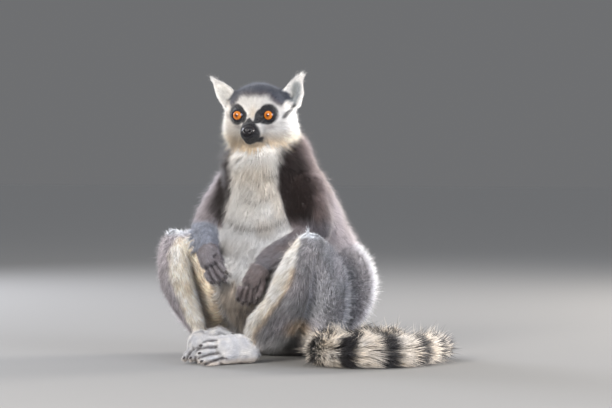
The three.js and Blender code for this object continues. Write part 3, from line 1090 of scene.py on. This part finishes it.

# %% [markdown]
# ## Tufts
# A tuft is a thin spike with three sides, wide and closed at its root and pointed at its tip.
# Those of the tail are bent at their middle. Hundreds of thousands are needed, so their corners
# are worked out as arrays and joined into a few meshes, one for each region of the body. The
# corners are counted round the root, then round the bend, then the tip: `patch`, `shade` and
# `outward` say for each of them where it lies on the unwrap, how light it is, and how much of
# the tip's colour it has.
# The darker roots are painted shade deep in the coat.

# %% Two kinds of tuft
STRAIGHT = {
    "faces": [(0, 1, 2), (0, 2, 3), (2, 1, 3), (1, 0, 3)],
    "patch": [(-1, -1), (1, -1), (0, -0.6), (0, 1)],
    # shade: the root painted darker than the tip, as painted shade deep in the coat
    "shade": [0.8, 0.8, 0.86, 1.08],
    "outward": [0, 0, 0, 1],
    "marked_at": (0.35, 0.9),  # where along a tuft its two colours are read off
}
BENT = {
    "faces": [(0, 1, 2), (0, 2, 5), (0, 5, 3), (2, 1, 4), (2, 4, 5), (1, 0, 3), (1, 3, 4),
              (3, 5, 6), (5, 4, 6), (4, 3, 6)],
    "patch": [(-1, -1), (1, -1), (0, -0.8), (-0.6, 0), (0.6, 0), (0, 0.1), (0, 1)],
    # shade: the root painted darker than the tip, as painted shade deep in the coat
    "shade": [0.5, 0.5, 0.55, 0.88, 0.88, 0.95, 1.08],
    "outward": [0, 0, 0, 0.5, 0.5, 0.5, 1],
    "marked_at": (0.6, 0.75),
}
print("triangles in a tuft:", len(STRAIGHT["faces"]), "or", len(BENT["faces"]))

# %% [markdown]
# ## Where tufts start
# Each triangle of the skin gets tufts by its area. There are few under the belly and the feet,
# where nobody sees them, and none inside the openings of the eyes.

# %% Roots
UNDERSIDE = 7 * MM
UNDERSIDE_SHARE = 0.2
start, second, third = (body.points[body.triangles[:, k]] for k in range(3))
triangle_area = np.linalg.norm(np.cross(second - start, third - start), axis=1) / 2


def root_weights(parts, keep):
    """How many tufts each triangle of the skin gets, against the others."""
    first = body.triangles[:, 0]
    middle = body.points[body.triangles].mean(axis=1)
    weight = triangle_area * is_part(body.part[first], *parts)
    hidden = (middle[:, 2] < UNDERSIDE) & (normals[first, 2] < -0.4)
    weight = weight * np.where(hidden, UNDERSIDE_SHARE, 1.0)
    for side in SIDES.values():
        measure, reach, _ = opening_measure(middle, side)
        weight = weight * ((measure > 1.04) | (reach > 1.5 * EYE_RADIUS))
    return weight if keep is None else weight * keep(middle)


def pick_roots(weight, count, random):
    """The triangle of each tuft, and the shares of its three corners at the tuft's root."""
    total = np.cumsum(weight)
    picks = (np.arange(count) + random.random(count)) / count * total[-1]
    chosen = np.searchsorted(total, picks).clip(0, len(weight) - 1)
    r = np.sqrt(random.random(count))
    s = random.random(count)
    return chosen, np.stack([1 - r, r * (1 - s), r * s], 1)


# %% [markdown]
# ## From corners to a mesh
# The tips of neighbouring tufts are drawn together into locks, as on a real coat. Then all
# corners of all tufts become one mesh. Each tuft gets a small patch of the skin's unwrap round
# its own root, and it is painted darker at its root than at its tip, as painted shade deep in
# the coat.

# %% Locks and meshes
LOCK = 28  # tufts in a lock
UV_PATCH = 0.0015  # half the width of a tuft's patch


def into_locks(root, tip, length, gather, random):
    """The tips, drawn part of the way to the tip of their lock's leader."""
    count = len(root)
    locks = KDTree(count // LOCK)
    leaders = random.choice(count, count // LOCK, replace=False)
    for i, leader in enumerate(leaders):
        locks.insert(root[leader], i)
    locks.balance()
    leader = leaders[[locks.find(Vector(p))[1] for p in root]]
    gather = gather * random.uniform(0.5, 1.2, count)
    close = apart(root, root[leader]) < 0.6 * length
    return tip + (tip[leader] - tip) * (gather * close)[:, None] * 0.6


def tuft_mesh(name, kind, points, tint, place):
    """One mesh from the corners, the two colours and the place on the unwrap of each tuft."""
    count, step, _ = points.shape
    faces = np.array(kind["faces"])
    every = (faces[None] + np.arange(count)[:, None, None] * step).reshape(-1)
    mesh = bpy.data.meshes.new(name)
    mesh.vertices.add(count * step)
    mesh.vertices.foreach_set("co", points.astype(np.float32).ravel())
    mesh.loops.add(len(every))
    mesh.loops.foreach_set("vertex_index", every.astype(np.int32))
    mesh.polygons.add(len(every) // 3)
    mesh.polygons.foreach_set("loop_start", np.arange(0, len(every), 3, dtype=np.int32))
    mesh.update()
    uv = place[:, None] + np.array(kind["patch"]) * UV_PATCH
    layer = mesh.uv_layers.new(name="OFBake")
    layer.data.foreach_set("uv", uv.reshape(-1, 2)[every].astype(np.float32).ravel())
    outward = np.array(kind["outward"])[None, :, None]
    shades = tint[:, :1] * (1 - outward) + tint[:, 1:] * outward
    paint(mesh, (shades * np.array(kind["shade"])[None, :, None]).reshape(-1, 3))
    print(name, count, "tufts,", len(every) // 3, "triangles")
    return mesh


# %% [markdown]
# ## Growing tufts
# The tufts start under the skin, lean along the lie of the coat, and end near the outline of the
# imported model. Their lengths, widths, leans and shades vary, each lock sways to one side, and a
# few longer and thinner guard hairs stand out.

# %% Growing
ROOT_DEPTH = 0.4 * MM
FLOOR_GAP = 0.4 * MM
GUARD_SHARE = 0.08
GUARD = (1.3, 1.75, 0.65)  # the length, lift and width of guard hairs, against the others'
SWAY = 0.30  # how far locks sway to a side, in radians
STRAY = 0.16  # how far single tufts stray from their lock's way
DARKEST = 0.002


def grow(name, parts, count, seed, kind=STRAIGHT, keep=None, scale=1.0, rise=1.0, painted_light=1.0):
    """One piece of `count` tufts on the named parts. `keep` says where they grow, and `scale`,
    `rise` and the lightness factor multiply their length, their lift and their lightness; lightness
    above 1 is painted light."""
    random = np.random.default_rng(seed)
    chosen, share = pick_roots(root_weights(parts, keep), count, random)
    corners = body.triangles[chosen]

    def at(values):
        return np.einsum("ij,ij...->i...", share, values[corners])

    root, normal, flow, row = at(body.points), unit(at(normals)), at(lie), at(coat)
    flow = unit(flow - normal * np.sum(flow * normal, axis=1)[:, None])
    side = np.cross(normal, flow)
    sway = noise(root, 14, seed) * SWAY + random.normal(0, STRAY, count)
    flow = flow * np.cos(sway)[:, None] + side * np.sin(sway)[:, None]
    side = np.cross(normal, flow)
    length = row[:, 1] * scale * random.uniform(0.7, 1.12, count)
    lift = np.radians(row[:, 3]) * rise * random.uniform(0.7, 1.3, count)
    width = row[:, 2] * random.uniform(0.75, 1.25, count)
    guard = random.random(count) < GUARD_SHARE
    measures = zip((length, lift, width), GUARD)
    length, lift, width = (np.where(guard, value * more, value) for value, more in measures)
    along = flow * np.cos(lift)[:, None] + normal * np.sin(lift)[:, None]
    tip = into_locks(root, root + along * length[:, None], length, row[:, 4], random)
    tip[:, 2] = np.maximum(tip[:, 2], FLOOR_GAP * 1.5)

    label = body.part[corners[:, 0]]
    tint = [markings(tip * out + root * (1 - out), label) for out in kind["marked_at"]]
    speckle = random.normal(0, 0.8, count) + noise(root, 2.6, seed + 1) * 1.8
    shade = np.exp(speckle * row[:, 5]) * painted_light
    tint = np.clip(np.stack(tint, 1) * shade[:, None, None], DARKEST, 1)
    half = side * (width / 2)[:, None]
    high = normal * (width * 0.55)[:, None]
    low = root - normal * ROOT_DEPTH
    rings = [low + half, low - half, low + high]
    if kind is BENT:
        bend = root + (tip - root) * 0.5 + normal * (length * 0.07)[:, None]
        rings += [bend + half * 0.7, bend - half * 0.7, bend + high * 0.7]
    points = np.stack([*rings, tip], 1)
    points[:, :, 2] = np.maximum(points[:, :, 2], FLOOR_GAP)
    place = np.einsum("ij,ijk->ik", share, skin_uv[body.corners[chosen]])
    return put(name, tuft_mesh(name, kind, points, tint, place))


# %% The coat's regions
COAT_PIECES = {  # parts, tufts, kind
    "coat_head": (("head", "ear"), 46000, STRAIGHT),
    "coat_breast": (("neck", "chest"), 46000, STRAIGHT),
    "coat_rump": (("abdomen",), 40000, STRAIGHT),
    "coat_arms": (("upper_arm", "forearm"), 38000, STRAIGHT),
    "coat_leg_left": (("thigh_left", "shin_left"), 46000, STRAIGHT),
    "coat_leg_right": (("thigh_right", "shin_right"), 42000, STRAIGHT),
    "coat_hands_feet": (("hand", "foot"), 24000, STRAIGHT),
    "coat_tail": (("tail",), 19500, BENT),
}
FIRST_SEED = 100

coats = []
for number, (name, (parts, count, kind)) in enumerate(COAT_PIECES.items()):
    coats.append(grow(name, parts, count, FIRST_SEED + number, kind))


# %% Hairs that stand out
def standing(points):
    """Where longer hairs stand out: haunches, outer shins, ruff, right shoulder and back."""
    p = points / MM
    h = in_head(points)
    x = np.abs(p[:, 0])
    haunch = ramp(p[:, 1], 5, 40) * fade(p[:, 2], 130, 170) * (p[:, 2] > 12)
    shin = ramp(x, 84, 100) * (p[:, 2] > 20) * 0.4
    mantle = 4 * fade(apart(p, [-42, -76, 226]), 8, 22) * (p[:, 2] < 240)
    ruff = 2.0 * ramp(np.abs(h[:, 0]), 30, 38) * (h[:, 2] < 8) * (h[:, 2] > -50) * (h[:, 1] < 20)
    back = 0.25 * (p[:, 1] > 20) * (p[:, 2] > 150)
    return haunch + shin + ruff + back + mantle


def ear_ends(points):
    """More hairs towards the tip of each ear."""
    return ramp(in_head(points)[:, 2], 28, 38)


FRINGE = ("thigh", "shin", "abdomen", "chest", "neck", "head")
# the standing hairs are painted lighter by 1.3, as painted rim light
coats.append(grow("coat_fringe", FRINGE, 24000, 140, keep=standing, rise=2.0, painted_light=1.3))
coats.append(grow("coat_ear_tips", ("ear",), 600, 141, keep=ear_ends, scale=2.4, rise=0.5))
print("coat:", len(coats), "pieces,", sum(len(c.data.polygons) for c in coats), "triangles")

# %% [markdown]
# ## Finish of skin and hair
# Hair is keratin: rather rough along its length, with a faint sheen on its fine tips. Under it
# the skin has the same colours, only darker, because it lies in the coat's shade.

# %% Hair
def painted_material(name, settings):
    """A material whose colour is the one painted on the mesh."""
    made, tree, shader = material(name, settings)
    colour = add(tree, "ShaderNodeAttribute", {"attribute_name": PAINT})
    tree.links.new(colour.outputs["Color"], shader.inputs["Base Color"])
    return made, tree, shader


HAIR = {"IOR": 1.55, "Sheen Roughness": 0.4, "Specular IOR Level": 0.3}
fur, *_ = painted_material("lemur_fur", {**HAIR, "Roughness": 0.62, "Sheen Weight": 0.15})
under, tree, shader = painted_material("skin_under_fur", {**HAIR, "Roughness": 0.8})
place = add(tree, "ShaderNodeTexCoord")
grain = add(tree, "ShaderNodeTexNoise", {"Scale": 900.0, "Detail": 3.0, "Roughness": 0.6},
            {"Vector": place.outputs["Object"]})
bump = add(tree, "ShaderNodeBump", {"Strength": 0.6, "Distance": 0.0006},
           {"Height": grain.outputs[0]})
tree.links.new(bump.outputs[0], shader.inputs["Normal"])
skin.data.materials.clear()
skin.data.materials.append(under)
for piece in coats:
    piece.data.materials.append(fur)
print("fur on the coat, and", under.name, "below it")

# %% [markdown]
# ## Eyes
# A lemur's eye shows an orange iris with fine spokes, a small pupil and a dark rim, under a
# clear bulging cornea. One ball carries all of it: its rings of points lie round the gaze, the
# front bulges, and the colours are set ring by ring.

# %% Eyes
IRIS_ANGLE = 0.70
PUPIL_ANGLE = 0.17
CORNEA_RISE = 0.7 * MM
iris_rim, iris_mid, iris_in = linear("#6b2e08"), linear("#b86c1c"), linear("#924c12")
pupil_black, limbus = linear("#050505"), linear("#120a06")


def eye_colours(angle, turn):
    """From the pupil outward: black, orange with spokes, a dark rim, and dark brown white."""
    spokes = 0.5 + 0.5 * np.sin(turn * 37 + np.sin(turn * 11) * 2) * np.cos(turn * 23)
    share = np.clip((angle - PUPIL_ANGLE) / (IRIS_ANGLE - PUPIL_ANGLE), 0, 1)
    iris = mixed(iris_in, iris_mid, ramp(share, 0.1, 0.5), iris_rim, ramp(share, 0.7, 1.0))
    return mixed(
        iris * (0.78 + 0.34 * spokes)[:, None],
        pupil_black, fade(angle, PUPIL_ANGLE - 0.03, PUPIL_ANGLE + 0.03),
        limbus, ramp(angle, IRIS_ANGLE - 0.05, IRIS_ANGLE + 0.02),
    )


CORNEA_IOR = 1.376
wet, *_ = painted_material("wet_eye", {
    "Roughness": 0.25, "IOR": CORNEA_IOR,
    "Coat Weight": 1.0, "Coat Roughness": 0.02, "Coat IOR": CORNEA_IOR,
})
print("eye's material:", wet.name)

# %% Eyeballs
gaze = (HEAD.to_3x3() @ GAZE).normalized()
eyes = []
for label, side in SIDES.items():
    ball = bmesh.new()
    bmesh.ops.create_uvsphere(ball, u_segments=96, v_segments=72, radius=EYE_RADIUS)
    local = np.array([v.co for v in ball.verts])
    angle = np.arccos(np.clip(local[:, 2] / EYE_RADIUS, -1, 1))
    turn = np.arctan2(local[:, 1], local[:, 0])
    rise = CORNEA_RISE * np.maximum(0, 1 - (angle / IRIS_ANGLE) ** 2)
    for vert, more in zip(ball.verts, rise):
        vert.co *= 1 + more / EYE_RADIUS
    middle = eye_frame(side)[0]
    spot = Matrix.Translation(middle) @ gaze.to_track_quat("Z", "Y").to_matrix().to_4x4()
    bmesh.ops.transform(ball, matrix=spot, verts=ball.verts)
    mesh = mesh_from(f"eyeball_{label}", ball)
    paint(mesh, eye_colours(angle, turn))
    mesh.shade_smooth()
    mesh.materials.append(wet)
    eye = put(f"eyeball_{label}", mesh)
    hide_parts(f"eye_{label}")
    eyes.append(eye)
print("eyes:", [len(e.data.polygons) for e in eyes], "faces")

# %% [markdown]
# ## Nose
# The nose leather is a bare, damp, finely pebbled pad with two comma-shaped nostrils and a
# groove down its middle. A ball is pushed into that shape point by point.

# %% Nose
NOSE_AT = (0, -53, -17.5)
NOSE_SIZE = (7.6, 7.2, 6.4)

pad = bmesh.new()
bmesh.ops.create_icosphere(pad, subdivisions=5, radius=1.0)
for vert in pad.verts:
    x, y, z = vert.co
    groove = math.exp(-((x / 0.10) ** 2)) * (0.10 if y < 0 and z < 0.35 else 0)
    slant = z + 0.05 - (abs(x) - 0.46) * 0.8
    hole = math.exp(-(((abs(x) - 0.46) / 0.17) ** 2) - (slant / 0.20) ** 2)
    wing = math.exp(-(((abs(x) - 0.62) / 0.30) ** 2) - ((z + 0.05) / 0.5) ** 2)
    vert.co *= 1 - groove + 0.08 * wing - (0.42 * hole if y < 0 else 0)
    vert.co.x *= 1 - 0.16 * max(0, -vert.co.z)
sized = Matrix.Diagonal((*(Vector(NOSE_SIZE) * MM), 1))
nose_place = HEAD @ Matrix.Translation(Vector(NOSE_AT) * MM) @ sized
bmesh.ops.transform(pad, matrix=nose_place, verts=pad.verts)
nose = put("nose_leather", mesh_from("nose_leather", pad))
nose.data.shade_smooth()
print("nose:", len(nose.data.vertices), "points")

# %% Leather of the nose
LEATHER = {"Base Color": rgba("#141216"), "Roughness": 0.38, "IOR": 1.45}
leather, tree, shader = material("damp_nose_leather", LEATHER)
place = add(tree, "ShaderNodeTexCoord")
pebbles = add(tree, "ShaderNodeTexVoronoi", {"Scale": 1400.0}, {"Vector": place.outputs["Object"]})
bump = add(tree, "ShaderNodeBump", {"Strength": 0.35, "Distance": 0.0003, "invert": True},
           {"Height": pebbles.outputs["Distance"]})
tree.links.new(bump.outputs[0], shader.inputs["Normal"])
nose.data.materials.append(leather)
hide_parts("nose")
print("nose finished in", leather.name)

# %% [markdown]
# ## Nails
# Every digit ends in a flat dark nail. Each is a small flattened ball, sunk to its middle in the
# back of the digit's tip, and all twenty are joined into one mesh.

# %% Nails
NAIL = Vector((1.5, 2.6, 0.9))  # half-width, half-length and half-height in millimetres
NAIL_ABOVE_FLOOR = 0.6
BACK_OF_PAW = {"hand_left": 1, "hand_right": -1, "foot_left": 1, "foot_right": 1}

horn_shape = bmesh.new()
for node, (size, _, heading, across, _) in FANS.items():
    outward = Vector(heading).cross(Vector(across)).normalized() * BACK_OF_PAW[node]
    for line in DIGITS[node]:
        end = Vector(line[-1])
        along = (end - Vector(line[-2])).normalized()
        above = (outward - along * outward.dot(along)).normalized()
        turn = Matrix((above.cross(along) * -1, along, above)).transposed().to_4x4()
        spot = end + along * size["radius"] * 0.2 + above * (size["radius"] * 0.8 - 0.5)
        spot.z = max(spot.z, NAIL.y + NAIL_ABOVE_FLOOR)
        place = Matrix.Translation(spot * MM) @ turn @ Matrix.Diagonal((*(NAIL * MM), 1))
        bmesh.ops.create_icosphere(horn_shape, subdivisions=3, radius=1.0, matrix=place)
bmesh.ops.recalc_face_normals(horn_shape, faces=horn_shape.faces)
nails = put("nails", mesh_from("nails", horn_shape))
nails.data.shade_smooth()
horn, *_ = material("dark_nail", {"Base Color": rgba("#2b2423"), "Roughness": 0.4, "IOR": 1.55})
nails.data.materials.append(horn)
print("nails:", sum(len(lines) for lines in DIGITS.values()))

# %% [markdown]
# ## Riding on the frame
# The animal is still, so every piece rides on the one body. The skin stands for all the parts
# of flesh.

# %% Finish
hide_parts(*FLESH)
for piece in [skin, *coats, *eyes, nose, nails]:
    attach(piece, "root")
